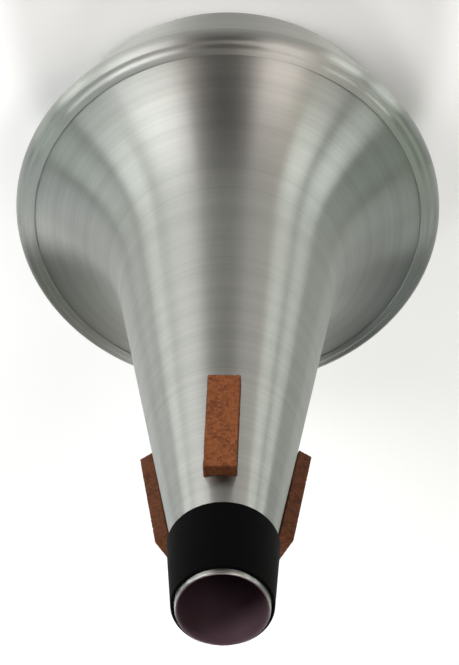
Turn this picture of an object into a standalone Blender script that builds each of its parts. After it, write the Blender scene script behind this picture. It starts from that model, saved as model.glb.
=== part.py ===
"""Trombone straight mute: spun aluminium body and base cap, rubber throat sleeve, three cork strips.

The mute stands on its wide base. +Z runs along its axis to the small open end, the origin is the
centre of the base plane, and one cork strip faces -Y. All sizes are in metres and radians.
"""
from math import asin, atan2, cos, hypot, pi, radians, sin, tan

import bmesh
import bpy

# Overall
OVERALL_HEIGHT = 0.217
RIM_DIAMETER = 0.128
SHEET = 0.0008
TURN_STEPS = 56

# Rolled shoulder, where the base cap is rolled round the rim of the body
SHOULDER_HEIGHT = 0.0326
SHOULDER_RADIUS = 0.004
SEAM_GAP = 0.0003
HEM_REACH = 0.0054
SKIRT_LENGTH = 0.002

# Flare and neck of the body, outer surface
DISH_ANGLE = radians(60.0)
DISH_SEAT = 0.0028
NECK_SLOPE = 0.1535
THROAT_DIAMETER = 0.0249
THROAT_SLOPE = 0.04

# Base cap behind the shoulder
FOOT_DIAMETER = 0.0981
FOOT_CORNER_RADIUS = 0.003
FOOT_LAND = 0.0035
PANEL_RECESS = 0.0025
PANEL_BEND_RADIUS = 0.002
PANEL_WALL_ANGLE = radians(50.0)

# Rubber sleeve on the throat
SLEEVE_LENGTH = 0.0245
SLEEVE_WALL = 0.0012
SLEEVE_MOUTH_WALL = 0.0007
SLEEVE_EDGE_RADIUS = 0.0004
LIP_STAND_OUT = 0.0013
SLEEVE_CLEARANCE = 0.0003

# Cork strips
CORK_COUNT = 3
CORK_WIDTH = 0.009
CORK_THICKNESS = 0.004
CORK_GLUE_GAP = 0.0003
CORK_TURN = radians(2.0)
FRONT_CORK_LENGTH = 0.034
FRONT_CORK_SETBACK = 0.036
FRONT_CORK_LEAN = radians(1.8)
SIDE_CORK_LENGTH = 0.0405
SIDE_CORK_SETBACK = 0.035
CORK_EDGE = 0.0004

# Places that follow from the sizes above
ROLL_CENTRE = (RIM_DIAMETER / 2 - SHOULDER_RADIUS, SHOULDER_HEIGHT)
BODY_CURL_RADIUS = SHOULDER_RADIUS - SHEET - SEAM_GAP
SLEEVE_MOUTH_HEIGHT = OVERALL_HEIGHT - LIP_STAND_OUT
SLEEVE_BACK_HEIGHT = SLEEVE_MOUTH_HEIGHT - SLEEVE_LENGTH
THROAT_BACK_RADIUS = THROAT_DIAMETER / 2 + THROAT_SLOPE * (OVERALL_HEIGHT - SLEEVE_BACK_HEIGHT)
NECK_ANGLE = atan2(NECK_SLOPE, 1.0)
HEM_EDGE_RADIUS = RIM_DIAMETER / 2 - HEM_REACH

COLLECTION_NAME = "trombone_straight_mute"
CUTTER_COLLECTION_NAME = "cutters"


def clear_scene():
    """Removes every object that the file opens with."""
    for item in list(bpy.data.objects):
        bpy.data.objects.remove(item, do_unlink=True)


def collection(name):
    """Returns a new collection, linked to the scene."""
    group = bpy.data.collections.new(name)
    bpy.context.scene.collection.children.link(group)
    return group


def material(name, colour, roughness, metallic):
    """Makes a Principled material."""
    made = bpy.data.materials.new(name)
    made.use_nodes = True
    shader = made.node_tree.nodes["Principled BSDF"]
    shader.inputs["Base Color"].default_value = (*colour, 1.0)
    shader.inputs["Roughness"].default_value = roughness
    shader.inputs["Metallic"].default_value = metallic
    return made


def spun_aluminium():
    return material("spun_aluminium", (0.62, 0.62, 0.59), 0.33, 1.0)


def black_rubber():
    return material("black_rubber", (0.012, 0.011, 0.011), 0.7, 0.0)


def natural_cork():
    return material("natural_cork", (0.24, 0.08, 0.03), 0.85, 0.0)


def arc(centre, radius, start, end, count):
    """Points of an arc in the (radius, height) plane, from one normal angle to another."""
    points = []
    for step in range(count + 1):
        angle = start + (end - start) * step / count
        points.append((centre[0] + radius * cos(angle), centre[1] + radius * sin(angle)))
    return points


def neck_radius(height):
    """Outer radius of the straight neck at a height."""
    return THROAT_BACK_RADIUS + NECK_SLOPE * (SLEEVE_BACK_HEIGHT - height)


def throat_radius(height):
    """Outer radius of the body under the sleeve at a height."""
    return THROAT_DIAMETER / 2 + THROAT_SLOPE * (OVERALL_HEIGHT - height)


def along_dish(point, distance):
    """Moves a point up the dish, towards the axis, by a distance along its slope."""
    return point[0] - distance * sin(DISH_ANGLE), point[1] + distance * cos(DISH_ANGLE)


def taper_angle():
    """Angle of the base cap's side from the axis, tangent to the shoulder and the foot corner."""
    foot_centre = (FOOT_DIAMETER / 2, FOOT_CORNER_RADIUS)
    out = ROLL_CENTRE[0] - foot_centre[0]
    up = ROLL_CENTRE[1] - foot_centre[1]
    return atan2(out, up) + asin((SHOULDER_RADIUS - FOOT_CORNER_RADIUS) / hypot(out, up))


def flare_points():
    """Points of the flare: an arc tangent to the straight neck and to the dish."""
    dish_tangent = arc(ROLL_CENTRE, BODY_CURL_RADIUS, DISH_ANGLE, DISH_ANGLE, 1)[0]
    hem_run = (dish_tangent[0] - HEM_EDGE_RADIUS) / sin(DISH_ANGLE)
    dish_end = along_dish(dish_tangent, hem_run + DISH_SEAT)
    dish_slope = tan(DISH_ANGLE)
    neck_at_dish_end = neck_radius(dish_end[1])
    crossing_height = dish_end[1] + (dish_end[0] - neck_at_dish_end) / (dish_slope - NECK_SLOPE)
    crossing = (neck_radius(crossing_height), crossing_height)
    tangent_length = hypot(dish_end[0] - crossing[0], dish_end[1] - crossing[1])
    radius = tangent_length / tan((DISH_ANGLE - NECK_ANGLE) / 2)
    centre = (dish_end[0] + radius * cos(DISH_ANGLE), dish_end[1] + radius * sin(DISH_ANGLE))
    return arc(centre, radius, NECK_ANGLE + pi, DISH_ANGLE + pi, 12)


def body_profile():
    """Outer surface of the body from its lip to the skirt inside the rolled shoulder."""
    side = taper_angle()
    lip = (THROAT_DIAMETER / 2, OVERALL_HEIGHT)
    throat_back = (THROAT_BACK_RADIUS, SLEEVE_BACK_HEIGHT)
    curl = arc(ROLL_CENTRE, BODY_CURL_RADIUS, DISH_ANGLE, -side, 8)
    skirt_end = (curl[-1][0] - SKIRT_LENGTH * sin(side), curl[-1][1] - SKIRT_LENGTH * cos(side))
    return [lip, throat_back] + flare_points() + curl + [skirt_end]


def cap_profile():
    """Outer surface of the base cap from its hem, round the shoulder, to the middle of the base."""
    side = taper_angle()
    roll = arc(ROLL_CENTRE, SHOULDER_RADIUS, DISH_ANGLE, -side, 9)
    hem_run = (roll[0][0] - HEM_EDGE_RADIUS) / sin(DISH_ANGLE)
    hem_edge = along_dish(roll[0], hem_run)
    corner_centre = (FOOT_DIAMETER / 2, FOOT_CORNER_RADIUS)
    corner = arc(corner_centre, FOOT_CORNER_RADIUS, -side, -pi / 2, 5)
    land_end = FOOT_DIAMETER / 2 - FOOT_LAND
    lower_bend = arc((land_end, PANEL_BEND_RADIUS), PANEL_BEND_RADIUS, -pi / 2, -pi / 2 - PANEL_WALL_ANGLE, 3)
    wall_rise = PANEL_RECESS - 2 * PANEL_BEND_RADIUS * (1 - cos(PANEL_WALL_ANGLE))
    wall_run = wall_rise / tan(PANEL_WALL_ANGLE)
    bend_end = lower_bend[-1]
    wall_end = (bend_end[0] - wall_run, bend_end[1] + wall_rise)
    upper_centre = (
        wall_end[0] - PANEL_BEND_RADIUS * sin(PANEL_WALL_ANGLE),
        wall_end[1] - PANEL_BEND_RADIUS * cos(PANEL_WALL_ANGLE),
    )
    upper_bend = arc(upper_centre, PANEL_BEND_RADIUS, pi / 2 - PANEL_WALL_ANGLE, pi / 2, 3)
    middle = (0.0, PANEL_RECESS)
    return [hem_edge] + roll + corner + lower_bend + upper_bend + [middle]


def sleeve_profile():
    """Closed outline of the rubber sleeve, outer side first, from its mouth to its back edge."""
    inner_top = throat_radius(SLEEVE_MOUTH_HEIGHT) + SLEEVE_CLEARANCE
    inner_back = throat_radius(SLEEVE_BACK_HEIGHT) + SLEEVE_CLEARANCE
    edge = SLEEVE_EDGE_RADIUS
    top_centre = (inner_top + SLEEVE_MOUTH_WALL - edge, SLEEVE_MOUTH_HEIGHT - edge)
    back_centre = (inner_back + SLEEVE_WALL - edge, SLEEVE_BACK_HEIGHT + edge)
    outer = arc(top_centre, edge, pi / 2, 0.0, 3) + arc(back_centre, edge, 0.0, -pi / 2, 3)
    return outer + [(inner_back, SLEEVE_BACK_HEIGHT), (inner_top, SLEEVE_MOUTH_HEIGHT)]


def turned(name, points, closed, finish, group):
    """Makes a turned object from (radius, height) points that run down its outer side."""
    mesh = bpy.data.meshes.new(name)
    corners = [(radius, 0.0, height) for radius, height in points]
    edges = [(index, index + 1) for index in range(len(corners) - 1)]
    if closed:
        edges.append((len(corners) - 1, 0))
    mesh.from_pydata(corners, edges, [])
    item = bpy.data.objects.new(name, mesh)
    group.objects.link(item)
    item.data.materials.append(finish)
    screw = item.modifiers.new("turn", "SCREW")
    screw.angle = 2 * pi
    screw.steps = TURN_STEPS
    screw.render_steps = TURN_STEPS
    screw.use_merge_vertices = True
    screw.merge_threshold = 0.00005
    screw.use_smooth_shade = True
    return item


def spun_shell(name, points, finish, group):
    """Makes a spun sheet part: the outer surface turned, then thickened inwards."""
    item = turned(name, points, False, finish, group)
    sheet = item.modifiers.new("sheet", "SOLIDIFY")
    sheet.thickness = SHEET
    sheet.offset = -1.0
    sheet.use_even_offset = True
    return item


def cork_seat_cutter(group):
    """Cone of the neck plus the glue gap, which hollows the backs of the cork strips."""
    top = OVERALL_HEIGHT - min(FRONT_CORK_SETBACK, SIDE_CORK_SETBACK) + CORK_THICKNESS
    bottom = top - max(FRONT_CORK_LENGTH, SIDE_CORK_LENGTH) - 2 * CORK_THICKNESS
    gap = CORK_GLUE_GAP / cos(NECK_ANGLE)
    mesh = bpy.data.meshes.new("cork_seat_cutter")
    shape = bmesh.new()
    bmesh.ops.create_cone(
        shape,
        cap_ends=True,
        segments=4 * TURN_STEPS,
        radius1=neck_radius(bottom) + gap,
        radius2=neck_radius(top) + gap,
        depth=top - bottom,
    )
    shape.to_mesh(mesh)
    shape.free()
    item = bpy.data.objects.new("cork_seat_cutter", mesh)
    item.location.z = (top + bottom) / 2
    item.hide_render = True
    item.display_type = "WIRE"
    group.objects.link(item)
    return item


def cork_strip(name, turn, length, setback, lean, cutter, group):
    """Makes one cork strip: a block along the neck, its back hollowed to the neck's cone."""
    small_end = OVERALL_HEIGHT - setback
    middle = small_end - length * cos(NECK_ANGLE) / 2
    depth = CORK_THICKNESS + CORK_WIDTH / 2
    mesh = bpy.data.meshes.new(name)
    shape = bmesh.new()
    bmesh.ops.create_cube(shape, size=1.0)
    bmesh.ops.scale(shape, vec=(CORK_WIDTH, depth, length), verts=shape.verts)
    bmesh.ops.translate(shape, vec=(0.0, depth / 2 - CORK_THICKNESS, 0.0), verts=shape.verts)
    shape.to_mesh(mesh)
    shape.free()
    item = bpy.data.objects.new(name, mesh)
    group.objects.link(item)
    item.data.materials.append(natural_cork())
    carrier = bpy.data.objects.new(name + "_seat", None)
    carrier.rotation_euler.z = turn
    group.objects.link(carrier)
    item.parent = carrier
    item.location = (0.0, -neck_radius(middle), middle)
    item.rotation_mode = "YXZ"
    item.rotation_euler = (-NECK_ANGLE, lean, 0.0)
    edge = item.modifiers.new("edge", "BEVEL")
    edge.width = CORK_EDGE
    edge.segments = 2
    seat = item.modifiers.new("seat", "BOOLEAN")
    seat.operation = "DIFFERENCE"
    seat.solver = "EXACT"
    seat.object = cutter
    return item


def main():
    clear_scene()
    parts = collection(COLLECTION_NAME)
    cutters = collection(CUTTER_COLLECTION_NAME)
    spun_shell("body_shell", body_profile(), spun_aluminium(), parts)
    spun_shell("base_cap", cap_profile(), spun_aluminium(), parts)
    turned("throat_sleeve", sleeve_profile(), True, black_rubber(), parts)
    cutter = cork_seat_cutter(cutters)
    third = 2 * pi / CORK_COUNT
    cork_strip("cork_front", CORK_TURN, FRONT_CORK_LENGTH, FRONT_CORK_SETBACK, FRONT_CORK_LEAN, cutter, parts)
    for name, turn in (("cork_left", CORK_TURN - third), ("cork_right", CORK_TURN - 2 * third)):
        cork_strip(name, turn, SIDE_CORK_LENGTH, SIDE_CORK_SETBACK, 0.0, cutter, parts)


main()
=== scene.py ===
"""Looks of a trombone straight mute: satin spun aluminium, black rubber sleeve and cork strips."""
from math import asin, atan2, cos, hypot, pi, radians, sin, tan

import bpy
from bpy.props import FloatProperty, FloatVectorProperty, IntProperty, PointerProperty
from mathutils import Matrix, Vector


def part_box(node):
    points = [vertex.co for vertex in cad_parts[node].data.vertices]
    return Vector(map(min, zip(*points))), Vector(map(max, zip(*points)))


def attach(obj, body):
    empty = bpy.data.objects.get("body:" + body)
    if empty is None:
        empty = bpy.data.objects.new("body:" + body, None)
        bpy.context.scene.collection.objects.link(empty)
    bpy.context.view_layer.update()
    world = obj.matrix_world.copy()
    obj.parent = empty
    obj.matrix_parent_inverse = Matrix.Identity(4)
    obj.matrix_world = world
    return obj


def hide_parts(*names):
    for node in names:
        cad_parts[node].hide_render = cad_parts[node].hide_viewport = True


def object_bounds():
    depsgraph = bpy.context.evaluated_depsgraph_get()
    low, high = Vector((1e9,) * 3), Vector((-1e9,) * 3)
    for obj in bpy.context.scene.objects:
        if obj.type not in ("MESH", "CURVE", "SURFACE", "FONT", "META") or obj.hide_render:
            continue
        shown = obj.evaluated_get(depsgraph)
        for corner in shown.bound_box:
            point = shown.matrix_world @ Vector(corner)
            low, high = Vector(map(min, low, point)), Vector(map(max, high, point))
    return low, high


bl_info = {
    "name": "Trombone straight mute",
    "version": (1, 0, 0),
    "blender": (4, 5, 0),
    "location": "View3D > Sidebar > Mute",
    "description": "Builds the finished look of a spun aluminium trombone straight mute",
    "category": "Add Mesh",
}

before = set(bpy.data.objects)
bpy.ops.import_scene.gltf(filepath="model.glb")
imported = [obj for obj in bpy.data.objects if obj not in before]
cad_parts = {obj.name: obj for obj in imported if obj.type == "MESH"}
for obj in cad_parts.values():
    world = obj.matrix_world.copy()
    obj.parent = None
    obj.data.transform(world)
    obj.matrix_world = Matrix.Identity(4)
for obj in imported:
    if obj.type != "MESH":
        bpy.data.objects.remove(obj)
CAD_LOW, CAD_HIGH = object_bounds()
SLEEVE_LOW, SLEEVE_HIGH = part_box("throat_sleeve")
BODY = "root"

# Steps along the arcs of the turned outlines
FLARE_STEPS = 48
CURL_STEPS = 24
ROLL_STEPS = 48
HEM_STEPS = 24
CORNER_STEPS = 16
BEND_STEPS = 10
EDGE_STEPS = 8
# Points this close are one, so that the seam and the poles of a turned piece close
MERGE_DISTANCE = 0.000002
# Share of the cap's inner points, beside the hem, kept bright metal outside the painted shade of
# the inside
BRIGHT_HEM_SHARE = 0.125

# Noise patterns of the finishes, with scales per metre
TURNING_LINES = {"Scale": 5200.0, "Detail": 6.0, "Roughness": 0.65}
TURNING_RINGS = {"Scale": 900.0, "Detail": 2.0}
TURNING_BANDS = {"Scale": 240.0, "Detail": 1.0}
RUBBER_GRAIN = {"Scale": 2200.0, "Detail": 4.0}
CORK_DRIFT = {"Scale": 330.0, "Detail": 4.0, "Roughness": 0.6}
CORK_SPECKS = {"Scale": 2600.0, "Detail": 2.0}
CORK_PITS = {"Scale": 700.0, "Detail": 2.0}
# Cork cells and the larger pressed grains, per metre
CORK_CELLS = 1100.0
CORK_GRAINS = 640.0

# Values of a pattern where its effect begins, and where it is full
WHOLE_RANGE = (0.0, 1.0)
LINE_LIMITS = (0.3, 0.7)
WEAR_LIMITS = (0.32, 0.68)
CELL_JOINT_LIMITS = (0.0, 0.12)
GRAIN_JOINT_LIMITS = (0.0, 0.16)
SPECK_LIMITS = (0.6, 0.68)
PIT_LIMITS = (0.56, 0.7)
CUT_LIMITS = (0.3, 0.9)

# Aluminium: tones of the colour, change of the roughness, height of a ring against a line
WORN_TONES = (0.93, 1.07)
LINE_ROUGHNESS = (-0.05, 0.06)
RING_HEIGHT = 2.0
# Shader rotation counts in whole turns; a quarter lays the sheen across the turning lines
QUARTER_TURN = 0.25
RUBBER_ROUGHNESS = (0.55, 0.8)
CORK_ROUGHNESS = (0.78, 0.92)
# Cork: shares of cells and drift in its tone, and the places of the two browns in that
CELL_SHARE = 0.45
DRIFT_SHARE = 0.75
BROWN_PLACES = (0.28, 0.72)
# Cork: the colour of its joints, and how far each mark and cut face goes towards it; the cut sides
# also carry painted shade of the corner against the neck
JOINT_COLOUR = (0.02, 0.006, 0.003, 1.0)
SPECK_DARKNESS = 0.55
JOINT_DARKNESS = 0.3
SAWN_END = 0.4
# Darkening of the cut sides: painted shade of the corner against the neck, over darker cut cork
CUT_SIDE_AND_SHADE = 0.54
# Cork: depth of a speck against a joint between cells, and of a grain's joint against a pit
SPECK_DEPTH = 1.5
GRAIN_JOINT_DEPTH = 0.4
# Strength and depth in metres of the fine relief
ALUMINIUM_RELIEF = (0.3, 0.00004)
RUBBER_RELIEF = (0.3, 0.00005)
CORK_RELIEF = (0.5, 0.00008)

PHOTO_HEIGHT = 665
SENSOR_WIDTH = 36.0
FLOOR_RADIUS = 0.85
FLOOR_SIDES = 128
FLOOR_ROUGHNESS = 0.9
SURROUND_COLOUR = (0.9, 0.9, 0.9, 1.0)
LIGHT_AIM = Vector((0.0, 0.0, 0.09))
# Width and height of the lamps in metres
WIDE = (0.3, 0.4)
TALL = (0.2, 0.4)
LOW = (0.3, 0.2)
SMALL = (0.15, 0.15)
# Name, azimuth and elevation in degrees, distance in metres, size, watts, colour
SOFT_LIGHTS = (
    ("behind", 180, 28, 1.1, TALL, 6.95, (1.0, 1.0, 1.0)),
    ("low_left", 70, 8, 1.1, LOW, 2.16, (0.96, 1.0, 0.98)),
    ("high_right", -30, 52, 1.1, WIDE, 2.19, (1.0, 0.90, 0.88)),
    ("left", 50, 28, 1.1, TALL, 1.95, (1.0, 1.0, 1.0)),
    ("low_right", -50, 8, 1.1, LOW, 1.99, (0.97, 1.0, 0.96)),
    ("front_left", 40, 28, 1.1, TALL, 1.86, (1.0, 1.0, 1.0)),
    ("low_far_right", -70, 8, 1.1, LOW, 1.73, (0.93, 1.0, 0.96)),
    ("top_behind_right", -150, 76, 1.1, WIDE, 1.58, (1.0, 0.92, 0.88)),
    ("side_left", 60, 28, 1.1, TALL, 1.29, (0.98, 1.0, 0.99)),
    ("near_front_left", 30, 28, 1.1, TALL, 1.28, (1.0, 0.98, 0.98)),
    ("behind_left", 130, 28, 1.1, TALL, 0.95, (0.98, 0.98, 1.0)),
    ("low_side_left", 90, 8, 1.1, LOW, 0.95, (0.92, 1.0, 0.96)),
    ("high_left", 30, 52, 1.1, WIDE, 0.96, (1.0, 0.89, 0.86)),
    ("low_behind_left", 110, 8, 1.1, LOW, 0.56, (0.96, 0.98, 1.0)),
    ("front_right", -40, 28, 1.1, TALL, 0.56, (1.0, 0.92, 0.79)),
    ("behind_right", -130, 28, 1.1, TALL, 0.41, (0.95, 1.0, 1.0)),
    ("low_behind_right", -110, 8, 1.1, LOW, 0.37, (0.89, 0.99, 1.0)),
    ("low_side_right", -90, 8, 1.1, LOW, 0.31, (0.77, 1.0, 0.93)),
    ("close_behind_left", 140, 55, 0.5, SMALL, 0.28, (0.91, 1.0, 0.98)),
    ("close_behind_right", -140, 55, 0.5, SMALL, 0.21, (0.90, 1.0, 0.83)),
)


class MuteSizes(bpy.types.PropertyGroup):
    """Sizes of the turned sheet parts, the sleeve and the corks."""

    rim_diameter: FloatProperty(
        name="Rim diameter", description="Widest diameter, over the rolled shoulder",
        default=CAD_HIGH.x - CAD_LOW.x, unit="LENGTH")
    overall_height: FloatProperty(
        name="Overall height", description="From the base to the lip at the small end",
        default=CAD_HIGH.z, unit="LENGTH")
    sheet: FloatProperty(
        name="Sheet", description="Thickness of the spun sheet", default=0.0008, unit="LENGTH")
    shoulder_height: FloatProperty(
        name="Shoulder height", description="Height of the middle of the rolled shoulder",
        default=0.0326, unit="LENGTH")
    shoulder_radius: FloatProperty(
        name="Shoulder radius", description="Radius of the rolled shoulder",
        default=0.004, unit="LENGTH")
    seam_gap: FloatProperty(
        name="Seam gap", description="Between the two sheets in the rolled seam",
        default=0.0003, unit="LENGTH")
    hem_reach: FloatProperty(
        name="Hem reach", description="From the widest place in to the edge of the hem",
        default=0.0054, unit="LENGTH")
    hem_crown: FloatProperty(
        name="Hem crown", description="Radius to which the hem is burnished down to its edge",
        default=0.0103, unit="LENGTH")
    hem_tip: FloatProperty(
        name="Hem tip", description="Thickness of the sheet at the burnished edge of the hem",
        default=0.00025, unit="LENGTH")
    groove_depth: FloatProperty(
        name="Groove depth", description="Depth of the line pressed in between shoulder and hem",
        default=0.00035, unit="LENGTH")
    groove_width: FloatProperty(
        name="Groove width", description="Width of the pressed line", default=0.003, unit="LENGTH")
    groove_place: FloatProperty(
        name="Groove place", description="Middle of the pressed line, from the shoulder",
        default=0.0009, unit="LENGTH")
    dish_angle: FloatProperty(
        name="Dish angle", description="Slope of the dish beside the hem, from the axis",
        default=radians(60.0), unit="ROTATION")
    dish_seat: FloatProperty(
        name="Dish seat", description="Straight stretch of the dish inside the hem",
        default=0.0028, unit="LENGTH")
    neck_slope: FloatProperty(
        name="Neck slope", description="Growth of the neck radius along the axis", default=0.1535)
    throat_diameter: FloatProperty(
        name="Throat diameter", description="Outer diameter of the body at its lip",
        default=0.0249, unit="LENGTH")
    throat_slope: FloatProperty(
        name="Throat slope", description="Growth of the throat radius under the sleeve",
        default=0.04)
    skirt_length: FloatProperty(
        name="Skirt length", description="Straight end of the rim inside the cap",
        default=0.002, unit="LENGTH")
    foot_diameter: FloatProperty(
        name="Foot diameter", description="Outer diameter of the flat foot ring",
        default=0.0981, unit="LENGTH")
    foot_corner_radius: FloatProperty(
        name="Foot corner radius", description="Rounding between the side and the foot",
        default=0.003, unit="LENGTH")
    foot_land: FloatProperty(
        name="Foot land", description="Width of the flat foot ring", default=0.0035, unit="LENGTH")
    panel_recess: FloatProperty(
        name="Panel recess", description="Depth of the base panel", default=0.0025, unit="LENGTH")
    panel_bend_radius: FloatProperty(
        name="Panel bend radius", description="Bends round the base panel",
        default=0.002, unit="LENGTH")
    panel_wall_angle: FloatProperty(
        name="Panel wall angle", description="Slope of the wall round the base panel",
        default=radians(50.0), unit="ROTATION")
    sleeve_wall: FloatProperty(
        name="Sleeve wall", description="Thickness of the rubber sleeve at its back edge",
        default=0.0012, unit="LENGTH")
    sleeve_mouth_wall: FloatProperty(
        name="Sleeve mouth wall", description="Thickness of the rubber sleeve at its mouth",
        default=0.0007, unit="LENGTH")
    sleeve_clearance: FloatProperty(
        name="Sleeve clearance", description="Between the sleeve and the throat",
        default=0.0003, unit="LENGTH")
    sleeve_edge_radius: FloatProperty(
        name="Sleeve edge radius", description="Rounding of the sleeve's edges",
        default=0.0004, unit="LENGTH")
    cork_width: FloatProperty(
        name="Cork width", description="Width of a cork strip", default=0.009, unit="LENGTH")
    cork_thickness: FloatProperty(
        name="Cork thickness", description="How far a cork strip stands off the neck",
        default=0.004, unit="LENGTH")
    cork_turn: FloatProperty(
        name="Cork turn", description="How far the three strips are turned round the axis",
        default=radians(2.0), unit="ROTATION")
    front_cork_length: FloatProperty(
        name="Front cork length", description="Length of the front strip",
        default=0.034, unit="LENGTH")
    front_cork_setback: FloatProperty(
        name="Front cork setback", description="From the lip to the small end of the front strip",
        default=0.036, unit="LENGTH")
    front_cork_lean: FloatProperty(
        name="Front cork lean", description="How far the front strip leans on the neck",
        default=radians(1.8), unit="ROTATION")
    side_cork_length: FloatProperty(
        name="Side cork length", description="Length of a side strip",
        default=0.0405, unit="LENGTH")
    side_cork_setback: FloatProperty(
        name="Side cork setback", description="From the lip to the small end of a side strip",
        default=0.035, unit="LENGTH")
    cork_edge: FloatProperty(
        name="Cork edge", description="Rounding of the edges of a cork strip",
        default=0.0004, unit="LENGTH")
    cork_step: FloatProperty(
        name="Cork step", description="Spacing of the mesh on a cork strip",
        default=0.00028, unit="LENGTH")
    cork_pit: FloatProperty(
        name="Cork pit", description="Depth of the pits and of the joints between cork grains",
        default=0.00016, unit="LENGTH")
    turn_steps: IntProperty(
        name="Turn steps", description="Segments round a turned part", default=192, min=32)


class MuteFinish(bpy.types.PropertyGroup):
    """Colours and surface values of the four finishes."""

    aluminium_colour: FloatVectorProperty(
        name="Aluminium colour", description="Satin spun aluminium", subtype="COLOR",
        size=3, min=0.0, max=1.0, default=(0.397, 0.405, 0.381))
    aluminium_roughness: FloatProperty(
        name="Aluminium roughness", description="Mean roughness of the satin finish",
        default=0.38, min=0.0, max=1.0, subtype="FACTOR")
    # Painted shade of the hollow on the inner side of the sheet
    painted_inside_shade: FloatVectorProperty(
        name="Inside colour", description="Dull, dark inner side of the sheet", subtype="COLOR",
        size=3, min=0.0, max=1.0, default=(0.095, 0.058, 0.072))
    rubber_colour: FloatVectorProperty(
        name="Rubber colour", description="Matt black rubber", subtype="COLOR",
        size=3, min=0.0, max=1.0, default=(0.0008, 0.0007, 0.0007))
    cork_colour: FloatVectorProperty(
        name="Cork colour", description="Natural cork", subtype="COLOR",
        size=3, min=0.0, max=1.0, default=(0.243, 0.0765, 0.0245))
    cork_dark_colour: FloatVectorProperty(
        name="Dark cork colour", description="Bark grains in the cork", subtype="COLOR",
        size=3, min=0.0, max=1.0, default=(0.115, 0.0333, 0.0112))


class MuteStage(bpy.types.PropertyGroup):
    """Camera and floor."""

    camera_tilt: FloatProperty(
        name="Camera tilt", description="Angle between the view and the axis of the mute",
        default=radians(35.61), unit="ROTATION")
    camera_roll: FloatProperty(
        name="Camera roll", description="Turn of the camera round its view",
        default=radians(0.65), unit="ROTATION")
    camera_distance: FloatProperty(
        name="Camera distance", description="From the camera to the shoulder, along the view",
        default=0.969, unit="LENGTH")
    frame_right: FloatProperty(
        name="Frame right", description="Shoulder centre right of the middle of the view",
        default=-0.00054, unit="LENGTH")
    frame_down: FloatProperty(
        name="Frame down", description="Shoulder centre below the middle of the view",
        default=-0.03633, unit="LENGTH")
    focal_pixels: FloatProperty(
        name="Focal length in pixels", description="In pixels of the 459 by 665 picture",
        default=3200.0)
    floor_colour: FloatVectorProperty(
        name="Floor colour", description="Plain pale floor", subtype="COLOR",
        size=3, min=0.0, max=1.0, default=(0.93, 0.93, 0.93))


def on_arc(centre, radius, angle):
    """Point at an angle round a centre in the (radius, height) plane."""
    return centre[0] + radius * cos(angle), centre[1] + radius * sin(angle)


def arc(centre, radius, start, end, count):
    """Points of an arc in the (radius, height) plane, from one angle to another."""
    angles = [start + (end - start) * step / count for step in range(count + 1)]
    return [on_arc(centre, radius, angle) for angle in angles]


def pressed(points, centre, line, depth, width):
    """Moves the points of an arc towards its centre where a line is pressed into it."""
    moved = []
    for point in points:
        off = min(1.0, 2 * hypot(point[0] - line[0], point[1] - line[1]) / width)
        out, up = point[0] - centre[0], point[1] - centre[1]
        share = 1.0 - depth * cos(off * pi / 2) ** 2 / hypot(out, up)
        moved.append((centre[0] + out * share, centre[1] + up * share))
    return moved


def rounded_end(first, last, count):
    """Half-round edge between two points of a sheet, without those points."""
    centre = ((first[0] + last[0]) / 2, (first[1] + last[1]) / 2)
    radius = hypot(first[0] - last[0], first[1] - last[1]) / 2
    start = atan2(first[1] - centre[1], first[0] - centre[0])
    return arc(centre, radius, start, start - pi, count)[1:-1]


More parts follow.
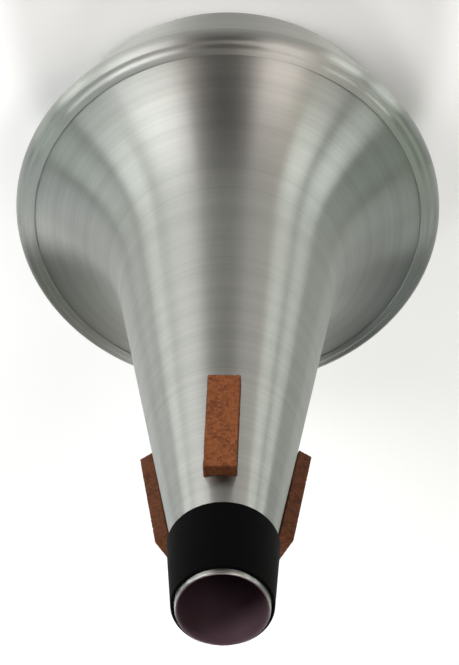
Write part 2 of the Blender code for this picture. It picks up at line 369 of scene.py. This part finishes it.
class Form:
    """Places on the turned parts that follow from the sizes."""

    def __init__(self, sizes):
        self.sizes = sizes
        self.roll_centre = (
            sizes.rim_diameter / 2 - sizes.shoulder_radius, sizes.shoulder_height)
        self.curl_radius = sizes.shoulder_radius - sizes.sheet - sizes.seam_gap
        self.hem_edge = sizes.rim_diameter / 2 - sizes.hem_reach
        self.sleeve_mouth = SLEEVE_HIGH.z
        self.sleeve_back = SLEEVE_LOW.z
        self.neck_angle = atan2(sizes.neck_slope, 1.0)
        self.throat_back = self.throat_radius(self.sleeve_back)
        self.corner_centre = (sizes.foot_diameter / 2, sizes.foot_corner_radius)
        out = self.roll_centre[0] - self.corner_centre[0]
        up = self.roll_centre[1] - self.corner_centre[1]
        lean = asin((sizes.shoulder_radius - sizes.foot_corner_radius) / hypot(out, up))
        self.side_angle = atan2(out, up) + lean

    def throat_radius(self, height):
        """Outer radius of the body under the sleeve."""
        sizes = self.sizes
        return sizes.throat_diameter / 2 + sizes.throat_slope * (sizes.overall_height - height)

    def neck_radius(self, height):
        """Outer radius of the straight neck."""
        return self.throat_back + self.sizes.neck_slope * (self.sleeve_back - height)

    def flare(self):
        """Centre and radius of the arc that joins the neck to the dish."""
        sizes = self.sizes
        angle = sizes.dish_angle
        tangent = on_arc(self.roll_centre, self.curl_radius, angle)
        run = (tangent[0] - self.hem_edge) / sin(angle) + sizes.dish_seat
        end = (tangent[0] - run * sin(angle), tangent[1] + run * cos(angle))
        fall = (end[0] - self.neck_radius(end[1])) / (tan(angle) - sizes.neck_slope)
        crossing = (self.neck_radius(end[1] + fall), end[1] + fall)
        length = hypot(end[0] - crossing[0], end[1] - crossing[1])
        radius = length / tan((angle - self.neck_angle) / 2)
        return on_arc(end, radius, angle), radius

    def body_side(self, depth):
        """Surface of the body at a depth in its sheet, from the lip to the end of the skirt."""
        sizes = self.sizes
        angle = sizes.dish_angle
        centre, radius = self.flare()
        bend = (pi + self.neck_angle + atan2(sizes.throat_slope, 1.0)) / 2
        throat = (self.throat_back - depth / sin(bend), self.sleeve_back)
        curve = arc(centre, radius + depth, self.neck_angle + pi, angle + pi, FLARE_STEPS)
        curl = arc(
            self.roll_centre, self.curl_radius - depth, angle, -self.side_angle, CURL_STEPS)
        end = (
            curl[-1][0] - sizes.skirt_length * sin(self.side_angle),
            curl[-1][1] - sizes.skirt_length * cos(self.side_angle),
        )
        lip = (sizes.throat_diameter / 2 - depth, sizes.overall_height - sizes.sheet / 2)
        return [lip, throat] + curve + curl + [end]

    def shoulder(self, depth):
        """Surface of the hem and of the rolled shoulder of the base cap."""
        sizes = self.sizes
        angle = sizes.dish_angle
        roll = arc(
            self.roll_centre, sizes.shoulder_radius - depth, angle, -self.side_angle, ROLL_STEPS)
        meeting = on_arc(self.roll_centre, sizes.shoulder_radius, angle)
        run = (meeting[0] - self.hem_edge) / sin(angle)
        crown = on_arc(meeting, -sizes.hem_crown, angle)
        tip_angle = angle + run / sizes.hem_crown
        hem = arc(crown, sizes.hem_crown, tip_angle, angle, HEM_STEPS)[:-1]
        if depth:
            # The inner side runs nearly straight from the thin tip to the shoulder
            tip = on_arc(hem[0], -sizes.hem_tip, tip_angle)
            middle = (roll[0][0] - run * sin(angle) / 2, roll[0][1] + run * cos(angle) / 2)
            return [tip, middle] + roll
        line = on_arc(crown, sizes.hem_crown, angle + sizes.groove_place / sizes.hem_crown)
        groove = (line, sizes.groove_depth, sizes.groove_width)
        return pressed(hem, crown, *groove) + pressed(roll, self.roll_centre, *groove)

    def cap_side(self, depth):
        """Surface of the base cap at a depth in its sheet, from the hem to mid-base."""
        sizes = self.sizes
        down = -pi / 2
        wall = sizes.panel_wall_angle
        bend = sizes.panel_bend_radius
        corner = arc(
            self.corner_centre, sizes.foot_corner_radius - depth, -self.side_angle, down,
            CORNER_STEPS)
        land_end = (self.corner_centre[0] - sizes.foot_land, bend)
        lower = arc(land_end, bend - depth, down, down - wall, BEND_STEPS)
        lower_end = on_arc(land_end, bend, down - wall)
        rise = sizes.panel_recess - 2 * bend * (1 - cos(wall))
        upper_centre = (
            lower_end[0] - rise / tan(wall) - bend * sin(wall),
            lower_end[1] + rise - bend * cos(wall),
        )
        upper = arc(upper_centre, bend + depth, pi / 2 - wall, pi / 2, BEND_STEPS)
        middle = (0.0, sizes.panel_recess + depth)
        return self.shoulder(depth) + corner + lower + upper + [middle]


def fill(tree, made, sockets):
    """Links outputs to the inputs of a node, or sets plain values there."""
    for label, value in sockets.items():
        if isinstance(value, bpy.types.NodeSocket):
            tree.links.new(value, made.inputs[label])
        else:
            made.inputs[label].default_value = value


def node(tree, kind, sockets=None, **values):
    """Adds a node, sets its properties and fills its inputs."""
    made = tree.nodes.new(kind)
    for name, value in values.items():
        setattr(made, name, value)
    fill(tree, made, sockets or {})
    return made


def maths(tree, operation, *terms):
    """Adds a Math node on sockets or numbers and returns its output."""
    return node(tree, "ShaderNodeMath", dict(enumerate(terms)), operation=operation).outputs[0]


def vectors(tree, operation, *terms):
    """Adds a Vector Math node on sockets or vectors and returns its output."""
    made = node(tree, "ShaderNodeVectorMath", dict(enumerate(terms)), operation=operation)
    return made.outputs["Vector"]


def combined(tree, **parts):
    """Adds a Combine XYZ node on the parts that are given and returns its output."""
    return node(tree, "ShaderNodeCombineXYZ", parts).outputs[0]


def parted(tree, vector):
    """Adds a Separate XYZ node and returns its outputs."""
    return node(tree, "ShaderNodeSeparateXYZ", {0: vector}).outputs


def mapped(tree, value, limits, results, curve="LINEAR"):
    """Maps a value from its limits to two results, and holds it between them."""
    sockets = {
        "Value": value, "From Min": limits[0], "From Max": limits[1],
        "To Min": results[0], "To Max": results[1],
    }
    return node(tree, "ShaderNodeMapRange", sockets, interpolation_type=curve).outputs[0]


def spread(tree, value, limits):
    """Maps a value from its limits to 0 and 1, smoothly."""
    return mapped(tree, value, limits, WHOLE_RANGE, "SMOOTHSTEP")


def noise(tree, place, pattern):
    """Adds a Noise Texture of a named pattern and returns its value."""
    return node(tree, "ShaderNodeTexNoise", {"Vector": place, **pattern}).outputs[0]


def to_edge(tree, place, scale):
    """Distance to the nearest joint between the cells of a Voronoi Texture."""
    sockets = {"Vector": place, "Scale": scale}
    made = node(tree, "ShaderNodeTexVoronoi", sockets, feature="DISTANCE_TO_EDGE")
    return made.outputs["Distance"]


def mixed(tree, factor, first, second):
    """Adds a Mix Color node on sockets or colours and returns its output."""
    sockets = {"Factor": factor, "A": first, "B": second}
    return node(tree, "ShaderNodeMix", sockets, data_type="RGBA").outputs["Result"]


def relief(tree, height, strength, depth):
    """Adds a Bump node on a height and returns its normal."""
    sockets = {"Strength": strength, "Distance": depth, "Height": height}
    return node(tree, "ShaderNodeBump", sockets).outputs[0]


def mark_on_mesh(tree, name):
    """Reads an attribute of the mesh in a material."""
    made = node(tree, "ShaderNodeAttribute", attribute_type="GEOMETRY", attribute_name=name)
    return made.outputs["Fac"]


def object_place(tree):
    """Object coordinates in a material."""
    return node(tree, "ShaderNodeTexCoord").outputs["Object"]


def new_material(name, specular):
    """A node material with only its Principled shader and output."""
    made = bpy.data.materials.new(name)
    made.use_nodes = True
    shader = made.node_tree.nodes["Principled BSDF"]
    shader.inputs["Specular IOR Level"].default_value = specular
    return made, made.node_tree, shader


def spun_aluminium(name, finish):
    """Satin aluminium with fine turning lines round the axis; the inner side is painted dark and
    matt as painted shade of the hollow.
    """
    made, tree, shader = new_material(name, specular=0.1)
    place = parted(tree, object_place(tree))
    across = maths(tree, "POWER", place["X"], 2.0)
    deep = maths(tree, "POWER", place["Y"], 2.0)
    reach = maths(tree, "SQRT", maths(tree, "ADD", across, deep))
    profile = combined(tree, X=reach, Y=place["Z"])
    lines = noise(tree, profile, TURNING_LINES)
    bands = noise(tree, profile, TURNING_BANDS)
    rings = noise(tree, profile, TURNING_RINGS)
    both = maths(
        tree, "ADD", spread(tree, bands, WEAR_LIMITS), spread(tree, rings, WEAR_LIMITS))
    tones = [(*[part * tone for part in finish.aluminium_colour], 1.0) for tone in WORN_TONES]
    metal = mixed(tree, maths(tree, "MULTIPLY", both, 0.5), *tones)
    inside = mark_on_mesh(tree, "inside")
    roughness = [finish.aluminium_roughness + change for change in LINE_ROUGHNESS]
    height = maths(tree, "ADD", lines, maths(tree, "MULTIPLY", rings, RING_HEIGHT))
    tangent = node(tree, "ShaderNodeTangent", direction_type="RADIAL", axis="Z")
    fill(tree, shader, {
        # Inner side: painted shade of the hollow, a dark colour without metal
        "Base Color": mixed(tree, inside, metal, (*finish.painted_inside_shade, 1.0)),
        "Metallic": maths(tree, "SUBTRACT", 1.0, inside),
        "Roughness": mapped(tree, lines, LINE_LIMITS, roughness),
        "Anisotropic": 1.0,
        "Anisotropic Rotation": QUARTER_TURN,
        "Tangent": tangent.outputs[0],
        "Normal": relief(tree, height, *ALUMINIUM_RELIEF),
    })
    return made


def matt_rubber(name, finish):
    """Matt black rubber with a faint moulded grain."""
    made, tree, shader = new_material(name, specular=0.03)
    grain = noise(tree, object_place(tree), RUBBER_GRAIN)
    fill(tree, shader, {
        "Base Color": (*finish.rubber_colour, 1.0),
        "Roughness": mapped(tree, grain, WHOLE_RANGE, RUBBER_ROUGHNESS),
        "Normal": relief(tree, grain, *RUBBER_RELIEF),
    })
    return made


def natural_cork(name, finish):
    """Natural cork: pressed grains of light and dark brown, with darker joints and specks, darker
    cut ends, and painted shade on the cut sides.
    """
    made, tree, shader = new_material(name, specular=0.2)
    place = object_place(tree)
    cells = node(tree, "ShaderNodeTexVoronoi", {"Vector": place, "Scale": CORK_CELLS})
    tint = node(tree, "ShaderNodeSeparateColor", {0: cells.outputs["Color"]}).outputs[0]
    drift = noise(tree, place, CORK_DRIFT)
    tone = maths(
        tree, "ADD", maths(tree, "MULTIPLY", tint, CELL_SHARE),
        maths(tree, "MULTIPLY", drift, DRIFT_SHARE))
    browns = node(tree, "ShaderNodeValToRGB", {"Fac": tone})
    colours = (finish.cork_dark_colour, finish.cork_colour)
    for stop, position, colour in zip(browns.color_ramp.elements, BROWN_PLACES, colours):
        stop.position = position
        stop.color = (*colour, 1.0)
    gap = spread(tree, to_edge(tree, place, CORK_CELLS), CELL_JOINT_LIMITS)
    specks = spread(tree, noise(tree, place, CORK_SPECKS), SPECK_LIMITS)
    clean = maths(tree, "SUBTRACT", 1.0, maths(tree, "MULTIPLY", specks, SPECK_DARKNESS))
    joints = maths(
        tree, "ADD", maths(tree, "MULTIPLY", gap, JOINT_DARKNESS), 1.0 - JOINT_DARKNESS)
    # Cut faces darker: the ends as cut cork, the sides also with painted shade
    uncut_unshaded = maths(tree, "SUBTRACT", 1.0, mark_on_mesh(tree, "cut_face_and_shade"))
    shade = maths(tree, "MULTIPLY", maths(tree, "MULTIPLY", clean, joints), uncut_unshaded)
    height = maths(tree, "ADD", gap, maths(tree, "MULTIPLY", clean, SPECK_DEPTH))
    fill(tree, shader, {
        "Base Color": mixed(tree, shade, JOINT_COLOUR, browns.outputs["Color"]),
        "Roughness": mapped(tree, drift, WHOLE_RANGE, CORK_ROUGHNESS),
        "Normal": relief(tree, height, *CORK_RELIEF),
    })
    return made


def pale_floor(name, stage):
    """Plain pale floor."""
    made, tree, shader = new_material(name, specular=0.1)
    fill(tree, shader, {
        "Base Color": (*stage.floor_colour, 1.0), "Roughness": FLOOR_ROUGHNESS})
    return made


def geometry_tree(name, inputs):
    """A Geometry Nodes tree with its named inputs, and their outputs inside it."""
    tree = bpy.data.node_groups.new(name, "GeometryNodeTree")
    tree.is_modifier = True
    for label, kind in (("Start", "Geometry"),) + inputs + (("Finish", "Material"),):
        tree.interface.new_socket(label, in_out="INPUT", socket_type="NodeSocket" + kind)
    tree.interface.new_socket("Piece", in_out="OUTPUT", socket_type="NodeSocketGeometry")
    return tree, node(tree, "NodeGroupInput").outputs


def end_tree(tree, geometry, finish):
    """Ends a tree: smooth shading, instances made real, and the finish."""
    smooth = node(tree, "GeometryNodeSetShadeSmooth", {"Geometry": geometry}).outputs[0]
    real = node(tree, "GeometryNodeRealizeInstances", {0: smooth}).outputs[0]
    painted = node(tree, "GeometryNodeSetMaterial", {"Geometry": real, "Material": finish})
    node(tree, "NodeGroupOutput", {0: painted.outputs[0]})


def marked(tree, geometry, name, value):
    """Stores a value on the points of a geometry."""
    sockets = {"Geometry": geometry, "Name": name, "Value": value}
    made = node(
        tree, "GeometryNodeStoreNamedAttribute", sockets, data_type="FLOAT", domain="POINT")
    return made.outputs[0]


def sampled(tree, geometry, value, index, kind):
    """Reads a value at a point of another geometry."""
    sockets = {"Geometry": geometry, "Value": value, "Index": index}
    made = node(tree, "GeometryNodeSampleIndex", sockets, data_type=kind, domain="POINT")
    return made.outputs["Value"]


def turned_about(tree, vector, axis, angle):
    """Turns a vector round an axis through the origin."""
    sockets = {"Vector": vector, "Angle": angle}
    return node(tree, "ShaderNodeVectorRotate", sockets, rotation_type=axis).outputs[0]


def turning_tree():
    """Geometry Nodes that turn an outline of points round Z and close the seam and the poles."""
    tree, given = geometry_tree("turn_outline", (("Turn steps", "Int"),))
    outline = given["Start"]
    count = node(
        tree, "GeometryNodeAttributeDomainSize", {"Geometry": outline}, component="MESH")
    columns = maths(tree, "ADD", given["Turn steps"], 1.0)
    grid = node(tree, "GeometryNodeMeshGrid", {
        "Vertices X": count.outputs["Point Count"], "Vertices Y": columns})
    index = node(tree, "GeometryNodeInputIndex").outputs[0]
    # Half a point more keeps the rounding down clear of the whole numbers
    row = maths(tree, "FLOOR", maths(tree, "DIVIDE", maths(tree, "ADD", index, 0.5), columns))
    column = maths(tree, "SUBTRACT", index, maths(tree, "MULTIPLY", row, columns))
    turn = maths(
        tree, "MULTIPLY", maths(tree, "DIVIDE", column, given["Turn steps"]), 2 * pi)
    place = node(tree, "GeometryNodeInputPosition").outputs[0]
    corner = sampled(tree, outline, place, row, "FLOAT_VECTOR")
    mark = node(
        tree, "GeometryNodeInputNamedAttribute", {"Name": "inside"}, data_type="FLOAT")
    inside = sampled(tree, outline, mark.outputs["Attribute"], row, "FLOAT")
    moved = node(tree, "GeometryNodeSetPosition", {
        "Geometry": grid.outputs["Mesh"], "Position": turned_about(tree, corner, "Z_AXIS", turn)})
    merged = node(tree, "GeometryNodeMergeByDistance", {
        "Geometry": marked(tree, moved.outputs[0], "inside", inside),
        "Distance": MERGE_DISTANCE})
    # A pole leaves an edge without faces, which goes
    faces = node(tree, "GeometryNodeInputMeshEdgeNeighbors").outputs[0]
    clean = node(tree, "GeometryNodeDeleteGeometry", {
        "Geometry": merged.outputs[0], "Selection": maths(tree, "LESS_THAN", faces, 0.5),
    }, domain="EDGE", mode="ALL")
    end_tree(tree, clean.outputs[0], given["Finish"])
    return tree


def cork_tree():
    """Geometry Nodes that make a cork strip: rounded block, back hollowed to the neck, pits."""
    tree, given = geometry_tree("cork_strip", (
        ("Block", "Vector"), ("Cells across", "Int"), ("Cells through", "Int"),
        ("Cells along", "Int"), ("Edge", "Float"), ("Lean", "Float"), ("Neck radius", "Float"),
        ("Neck slope", "Float"), ("Glue gap", "Float"), ("Pit depth", "Float"),
        ("Seed", "Float"), ("Tilt", "Float"), ("Middle", "Float"), ("Turn", "Float"),
    ))
    block = node(tree, "GeometryNodeMeshCube", {
        "Size": given["Block"], "Vertices X": given["Cells across"],
        "Vertices Y": given["Cells through"], "Vertices Z": given["Cells along"]})
    place = node(tree, "GeometryNodeInputPosition").outputs[0]

    # Edges rounded: each point lies at the edge's radius from the nearest one of the core
    half = vectors(tree, "MULTIPLY", given["Block"], (0.5, 0.5, 0.5))
    edge = combined(tree, X=given["Edge"], Y=given["Edge"], Z=given["Edge"])
    core = vectors(tree, "SUBTRACT", half, edge)
    least = vectors(tree, "MULTIPLY", core, (-1.0, -1.0, -1.0))
    nearest = vectors(tree, "MINIMUM", vectors(tree, "MAXIMUM", place, least), core)
    outward = vectors(tree, "NORMALIZE", vectors(tree, "SUBTRACT", place, nearest))
    rounded = vectors(tree, "ADD", nearest, vectors(tree, "MULTIPLY", outward, edge))
    leaning = parted(tree, turned_about(tree, rounded, "Y_AXIS", given["Lean"]))

    # Back hollowed to the round of the neck, and less and less towards the front
    through = parted(tree, given["Block"])["Y"]
    share = maths(tree, "ADD", maths(tree, "DIVIDE", leaning["Y"], through), 0.5)
    narrowing = maths(tree, "MULTIPLY", leaning["Z"], given["Neck slope"])
    reach = maths(tree, "SUBTRACT", given["Neck radius"], narrowing)
    chord = maths(
        tree, "SUBTRACT", maths(tree, "POWER", reach, 2.0),
        maths(tree, "POWER", leaning["X"], 2.0))
    sagitta = maths(tree, "SUBTRACT", reach, maths(tree, "SQRT", chord))
    hollow = maths(tree, "SUBTRACT", sagitta, given["Glue gap"])
    shifted = maths(tree, "SUBTRACT", leaning["Y"], maths(tree, "MULTIPLY", through, 0.5))
    seated = maths(tree, "ADD", shifted, maths(tree, "MULTIPLY", share, hollow))
    formed = combined(tree, X=leaning["X"], Y=seated, Z=leaning["Z"])

    # Cut ends marked darker; cut sides marked darker still, as painted shade of the corner against
    # the neck
    beyond = parted(tree, vectors(tree, "SUBTRACT", vectors(tree, "ABSOLUTE", place), core))
    faces = [
        spread(tree, maths(tree, "DIVIDE", beyond[axis], given["Edge"]), CUT_LIMITS)
        for axis in "ZX"
    ]
    cut_and_shade = maths(
        tree, "MAXIMUM", maths(tree, "MULTIPLY", faces[0], SAWN_END),
        maths(tree, "MULTIPLY", faces[1], CUT_SIDE_AND_SHADE))
    shaped = node(tree, "GeometryNodeSetPosition", {
        "Geometry": marked(tree, block.outputs["Mesh"], "cut_face_and_shade", cut_and_shade),
        "Position": formed})

    # Pits and joints between the grains sunk in
    seed = combined(tree, X=given["Seed"], Y=given["Seed"], Z=given["Seed"])
    here = vectors(tree, "ADD", node(tree, "GeometryNodeInputPosition").outputs[0], seed)
    grains = spread(tree, to_edge(tree, here, CORK_GRAINS), GRAIN_JOINT_LIMITS)
    joints = maths(tree, "SUBTRACT", 1.0, grains)
    pits = spread(tree, noise(tree, here, CORK_PITS), PIT_LIMITS)
    depth = maths(tree, "ADD", maths(tree, "MULTIPLY", joints, GRAIN_JOINT_DEPTH), pits)
    sink = maths(tree, "MULTIPLY", maths(tree, "MINIMUM", depth, 1.0), given["Pit depth"])
    inwards = node(tree, "ShaderNodeVectorMath", {
        0: node(tree, "GeometryNodeInputNormal").outputs[0],
        "Scale": maths(tree, "MULTIPLY", sink, -1.0),
    }, operation="SCALE").outputs[0]
    pitted = node(tree, "GeometryNodeSetPosition", {
        "Geometry": shaped.outputs[0], "Offset": inwards})

    # Laid on the front of the neck, and then turned round to its place
    outwards = maths(tree, "MULTIPLY", given["Neck radius"], -1.0)
    on_neck = node(tree, "GeometryNodeTransform", {
        "Geometry": pitted.outputs[0],
        "Translation": combined(tree, Y=outwards, Z=given["Middle"]),
        "Rotation": combined(tree, X=given["Tilt"])})
    around = node(tree, "GeometryNodeTransform", {
        "Geometry": on_neck.outputs[0], "Rotation": combined(tree, Z=given["Turn"])})
    end_tree(tree, around.outputs[0], given["Finish"])
    return tree


def socket_name(tree, label):
    """Identifier of a tree's input socket."""
    for item in tree.interface.items_tree:
        if item.item_type == "SOCKET" and item.in_out == "INPUT" and item.name == label:
            return item.identifier
    raise KeyError(label)


def start_object(name, points):
    """An object of loose points, for a tree to start from."""
    mesh = bpy.data.meshes.new(name + "_start")
    mesh.from_pydata(points, [], [])
    item = bpy.data.objects.new(name + "_start", mesh)
    bpy.context.scene.collection.objects.link(item)
    return item


def made_by(tree, item, name, values):
    """Runs a tree on an object with its input values, and keeps the result as a plain mesh."""
    making = item.modifiers.new("making", "NODES")
    making.node_group = tree
    for label, value in values.items():
        making[socket_name(tree, label)] = value
    graph = bpy.context.evaluated_depsgraph_get()
    mesh = bpy.data.meshes.new_from_object(item.evaluated_get(graph), depsgraph=graph)
    mesh.name = name
    bpy.data.objects.remove(item, do_unlink=True)
    plain = bpy.data.objects.new(name, mesh)
    bpy.context.scene.collection.objects.link(plain)
    return plain


def turned(name, outline, inside, finish, steps):
    """Turns a closed outline of (radius, height) points into a plain mesh piece.

    inside holds 1 for each point that is on the inner side of the sheet, and else 0.
    """
    item = start_object(name, [(radius, 0.0, height) for radius, height in outline])
    mark = item.data.attributes.new("inside", "FLOAT", "POINT")
    mark.data.foreach_set("value", [float(value) for value in inside])
    tree = bpy.data.node_groups.get("turn_outline") or turning_tree()
    return made_by(tree, item, name, {"Turn steps": steps, "Finish": finish})


def cork_strip(name, form, turn, length, setback, lean, seed, finish):
    """Makes one cork strip as a plain mesh piece."""
    sizes = form.sizes
    middle = sizes.overall_height - setback - length * cos(form.neck_angle) / 2
    block = (sizes.cork_width, sizes.cork_thickness, length)
    cells = [int(round(side / sizes.cork_step)) + 1 for side in block]
    tree = bpy.data.node_groups.get("cork_strip") or cork_tree()
    return made_by(tree, start_object(name, [(0.0, 0.0, 0.0)]), name, {
        "Block": block,
        "Cells across": cells[0], "Cells through": cells[1], "Cells along": cells[2],
        "Edge": sizes.cork_edge, "Lean": lean, "Neck radius": form.neck_radius(middle),
        "Neck slope": sin(form.neck_angle), "Glue gap": sizes.seam_gap,
        "Pit depth": sizes.cork_pit, "Seed": seed, "Tilt": -form.neck_angle,
        "Middle": middle, "Turn": turn, "Finish": finish,
    })


class MUTE_OT_body_shell(bpy.types.Operator):
    """Turns the body: neck, flare and the curled rim inside the shoulder"""

    bl_idname = "mute.body_shell"
    bl_label = "Body shell"

    def execute(self, context):
        scene = context.scene
        sizes = scene.mute_sizes
        form = Form(sizes)
        outer = form.body_side(0.0)
        inner = form.body_side(sizes.sheet)[::-1]
        skirt_end = rounded_end(outer[-1], inner[0], EDGE_STEPS)
        lip = rounded_end(inner[-1], outer[0], EDGE_STEPS)
        outline = outer + skirt_end + inner + lip + outer[:1]
        # Inner side marked for the painted shade of the hollow; the outer half of the lip stays
        # bright metal
        bright = len(lip) // 2 + 1
        shaded = len(outline) - len(outer) - bright
        inside = [0] * len(outer) + [1] * shaded + [0] * bright
        finish = spun_aluminium("spun_aluminium_body", scene.mute_finish)
        piece = turned("body_shell_spun", outline, inside, finish, sizes.turn_steps)
        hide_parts("body_shell")
        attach(piece, BODY)
        return {"FINISHED"}


class MUTE_OT_base_cap(bpy.types.Operator):
    """Turns the base cap: hem, rolled shoulder, tapered side and recessed base"""

    bl_idname = "mute.base_cap"
    bl_label = "Base cap"

    def execute(self, context):
        scene = context.scene
        sizes = scene.mute_sizes
        form = Form(sizes)
        outer = form.cap_side(0.0)
        inner = form.cap_side(sizes.sheet)[::-1]
        edge = rounded_end(inner[-1], outer[0], EDGE_STEPS)
        outline = outer + inner + edge + outer[:1]
        # Inner side marked for the painted shade of the hollow, except a stretch beside the hem
        bright = int(len(inner) * BRIGHT_HEM_SHARE) + len(edge) + 1
        shaded = len(outline) - len(outer) - bright
        inside = [0] * len(outer) + [1] * shaded + [0] * bright
        finish = spun_aluminium("spun_aluminium_cap", scene.mute_finish)
        piece = turned("base_cap_spun", outline, inside, finish, sizes.turn_steps)
        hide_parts("base_cap")
        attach(piece, BODY)
        return {"FINISHED"}


class MUTE_OT_throat_sleeve(bpy.types.Operator):
    """Turns the rubber sleeve on the throat"""

    bl_idname = "mute.throat_sleeve"
    bl_label = "Throat sleeve"

    def execute(self, context):
        scene = context.scene
        sizes = scene.mute_sizes
        form = Form(sizes)
        edge = sizes.sleeve_edge_radius
        mouth = form.throat_radius(form.sleeve_mouth) + sizes.sleeve_clearance
        back = form.throat_radius(form.sleeve_back) + sizes.sleeve_clearance
        mouth_edge = (mouth + sizes.sleeve_mouth_wall - edge, form.sleeve_mouth - edge)
        back_edge = (back + sizes.sleeve_wall - edge, form.sleeve_back + edge)
        outline = arc(mouth_edge, edge, pi / 2, 0.0, EDGE_STEPS)
        outline += arc(back_edge, edge, 0.0, -pi / 2, EDGE_STEPS)
        outline += [(back, form.sleeve_back), (mouth, form.sleeve_mouth)]
        outline += outline[:1]
        inside = [0] * len(outline)
        finish = matt_rubber("matt_black_rubber", scene.mute_finish)
        piece = turned("throat_sleeve_rubber", outline, inside, finish, sizes.turn_steps)
        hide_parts("throat_sleeve")
        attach(piece, BODY)
        return {"FINISHED"}


class MUTE_OT_cork_strips(bpy.types.Operator):
    """Makes the three cork strips on the neck"""

    bl_idname = "mute.cork_strips"
    bl_label = "Cork strips"

    def execute(self, context):
        sizes = context.scene.mute_sizes
        form = Form(sizes)
        finish = natural_cork("natural_cork", context.scene.mute_finish)
        third = 2 * pi / 3
        front = (sizes.front_cork_length, sizes.front_cork_setback, sizes.front_cork_lean)
        side = (sizes.side_cork_length, sizes.side_cork_setback, 0.0)
        # Node, turn round the axis, length with setback and lean, seed of the grain
        strips = (
            ("cork_front", sizes.cork_turn, front, 0.3),
            ("cork_left", sizes.cork_turn - third, side, 0.7),
            ("cork_right", sizes.cork_turn - 2 * third, side, 1.1),
        )
        for name, turn, (length, setback, lean), seed in strips:
            piece = cork_strip(name + "_strip", form, turn, length, setback, lean, seed, finish)
            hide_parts(name)
            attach(piece, BODY)
        return {"FINISHED"}


def area_light(name, azimuth, elevation, distance, size, power, colour):
    """A soft oblong lamp that faces the mute; azimuth goes from the front cork towards +X."""
    turn, rise = radians(azimuth), radians(elevation)
    away = Vector((cos(rise) * sin(turn), -cos(rise) * cos(turn), sin(rise)))
    data = bpy.data.lights.new(name, "AREA")
    data.shape = "RECTANGLE"
    data.size, data.size_y = size
    data.energy = power
    data.color = colour
    item = bpy.data.objects.new(name, data)
    item.location = LIGHT_AIM + away * distance
    item.rotation_euler = (-away).to_track_quat("-Z", "Y").to_euler()
    item.visible_camera = False
    bpy.context.scene.collection.objects.link(item)


def photo_camera(stage, shoulder_height):
    """Camera at the photograph's angle: the small end near the bottom of the picture."""
    tilt = stage.camera_tilt
    axis = Vector((0.0, sin(tilt), -cos(tilt)))
    near = Vector((0.0, -cos(tilt), -sin(tilt)))
    side = Vector((1.0, 0.0, 0.0))
    roll = Matrix.Rotation(stage.camera_roll, 3, "Z")
    side, near, axis = roll @ side, roll @ near, roll @ axis
    right = Vector((-side.x, -near.x, axis.x))
    down = Vector((-side.y, -near.y, axis.y))
    forward = Vector((-side.z, -near.z, axis.z))
    data = bpy.data.cameras.new("photo_camera")
    data.sensor_width = SENSOR_WIDTH
    data.lens = stage.focal_pixels * data.sensor_width / PHOTO_HEIGHT
    item = bpy.data.objects.new("photo_camera", data)
    centre = Vector((0.0, 0.0, shoulder_height))
    place = (
        centre - right * stage.frame_right - down * stage.frame_down
        - forward * stage.camera_distance)
    turn = Matrix((right, -down, -forward)).transposed()
    item.matrix_world = Matrix.Translation(place) @ turn.to_4x4()
    bpy.context.scene.collection.objects.link(item)
    bpy.context.scene.camera = item


def pale_surround():
    """A world that is pale where it is seen, and leaves the light to the lamps."""
    made = bpy.data.worlds.new("studio")
    made.use_nodes = True
    tree = made.node_tree
    seen = node(tree, "ShaderNodeLightPath").outputs["Is Camera Ray"]
    fill(tree, tree.nodes["Background"], {"Color": SURROUND_COLOUR, "Strength": seen})
    return made


class MUTE_OT_stage(bpy.types.Operator):
    """Sets the floor, the lights and the camera"""

    bl_idname = "mute.stage"
    bl_label = "Stage"

    def execute(self, context):
        scene = context.scene
        stage = scene.mute_stage
        bpy.ops.mesh.primitive_circle_add(
            vertices=FLOOR_SIDES, radius=FLOOR_RADIUS, fill_type="NGON")
        floor = context.active_object
        floor.name = "floor"
        floor.data.materials.append(pale_floor("pale_floor", stage))
        photo_camera(stage, scene.mute_sizes.shoulder_height)
        for light in SOFT_LIGHTS:
            area_light(*light)
        scene.world = pale_surround()
        scene.view_settings.view_transform = "Standard"
        return {"FINISHED"}


class MUTE_PT_panel(bpy.types.Panel):
    """Lists the steps that build the mute, and what a user can change"""

    bl_label = "Straight mute"
    bl_idname = "MUTE_PT_panel"
    bl_space_type = "VIEW_3D"
    bl_region_type = "UI"
    bl_category = "Mute"

    def draw(self, context):
        scene = context.scene
        for step in OPERATORS:
            self.layout.operator(step.bl_idname)
        for group in (scene.mute_sizes, scene.mute_finish, scene.mute_stage):
            for name in group.__annotations__:
                self.layout.prop(group, name)


OPERATORS = (
    MUTE_OT_body_shell,
    MUTE_OT_base_cap,
    MUTE_OT_throat_sleeve,
    MUTE_OT_cork_strips,
    MUTE_OT_stage,
)
CLASSES = (MuteSizes, MuteFinish, MuteStage) + OPERATORS + (MUTE_PT_panel,)


def register():
    for item in CLASSES:
        bpy.utils.register_class(item)
    bpy.types.Scene.mute_sizes = PointerProperty(type=MuteSizes)
    bpy.types.Scene.mute_finish = PointerProperty(type=MuteFinish)
    bpy.types.Scene.mute_stage = PointerProperty(type=MuteStage)


def unregister():
    del bpy.types.Scene.mute_stage
    del bpy.types.Scene.mute_finish
    del bpy.types.Scene.mute_sizes
    for item in reversed(CLASSES):
        bpy.utils.unregister_class(item)


def main():
    register()
    bpy.ops.mute.body_shell()
    bpy.ops.mute.base_cap()
    bpy.ops.mute.throat_sleeve()
    bpy.ops.mute.cork_strips()
    bpy.ops.mute.stage()


if __name__ == "__main__":
    main()
